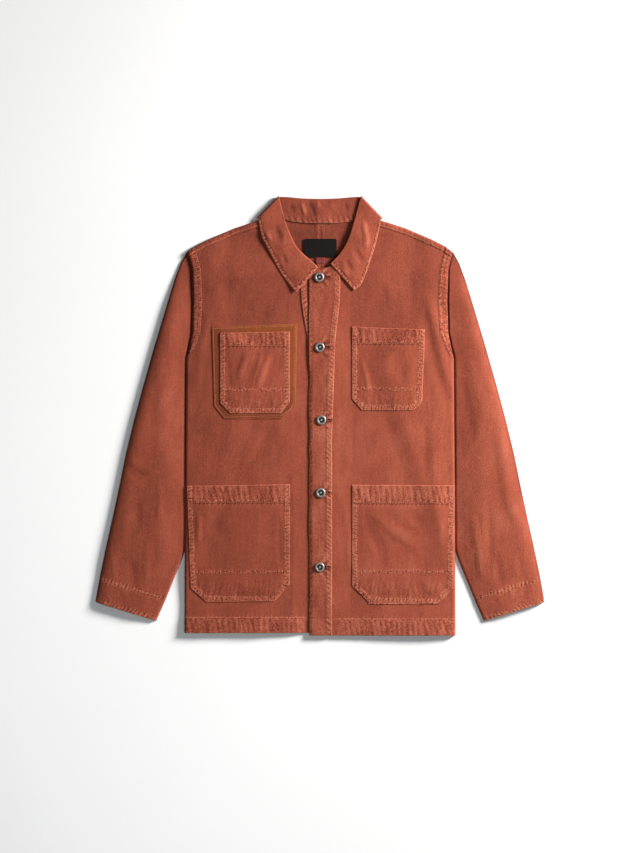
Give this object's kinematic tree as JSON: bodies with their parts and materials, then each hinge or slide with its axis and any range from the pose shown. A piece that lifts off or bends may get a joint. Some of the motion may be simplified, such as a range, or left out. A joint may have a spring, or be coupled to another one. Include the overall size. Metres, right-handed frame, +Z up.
{
  "type": "chore jacket",
  "caption": "Button-front canvas work jacket laid flat on its back, with a pointed collar, patch pockets on chest and hips, and long sleeves at its sides.",
  "frame": {"origin": "under the middle of the jacket, on the surface that it lies on", "axes": "+X towards the wearer's left, +Y from the hem to the collar, +Z up from the surface"},
  "size_m": [0.81, 0.789, 0.0121],
  "materials": {
    "canvas": "garment-dyed rust cotton canvas, washed, matt",
    "tan_canvas": "tan cotton canvas, washed, matt",
    "label_black": "woven black label",
    "tab_red": "woven dark red tab",
    "button_metal": "aged grey metal, slightly worn"
  },
  "bodies": {
    "root": {"back_right": "canvas", "back_left": "canvas", "front_right": "canvas", "front_left": "canvas", "placket_right": "canvas", "placket_left": "canvas", "sleeve_right_under": "canvas", "sleeve_right_top": "canvas", "sleeve_left_under": "canvas", "sleeve_left_top": "canvas", "collar": "canvas", "pocket_backing": "tan_canvas", "chest_pocket_right": "canvas", "chest_pocket_left": "canvas", "lower_pocket_right": "canvas", "lower_pocket_left": "canvas", "label": "label_black", "size_tab": "tab_red", "button_1": "button_metal", "button_2": "button_metal", "button_3": "button_metal", "button_4": "button_metal", "button_5": "button_metal"}
  },
  "joints": []
}
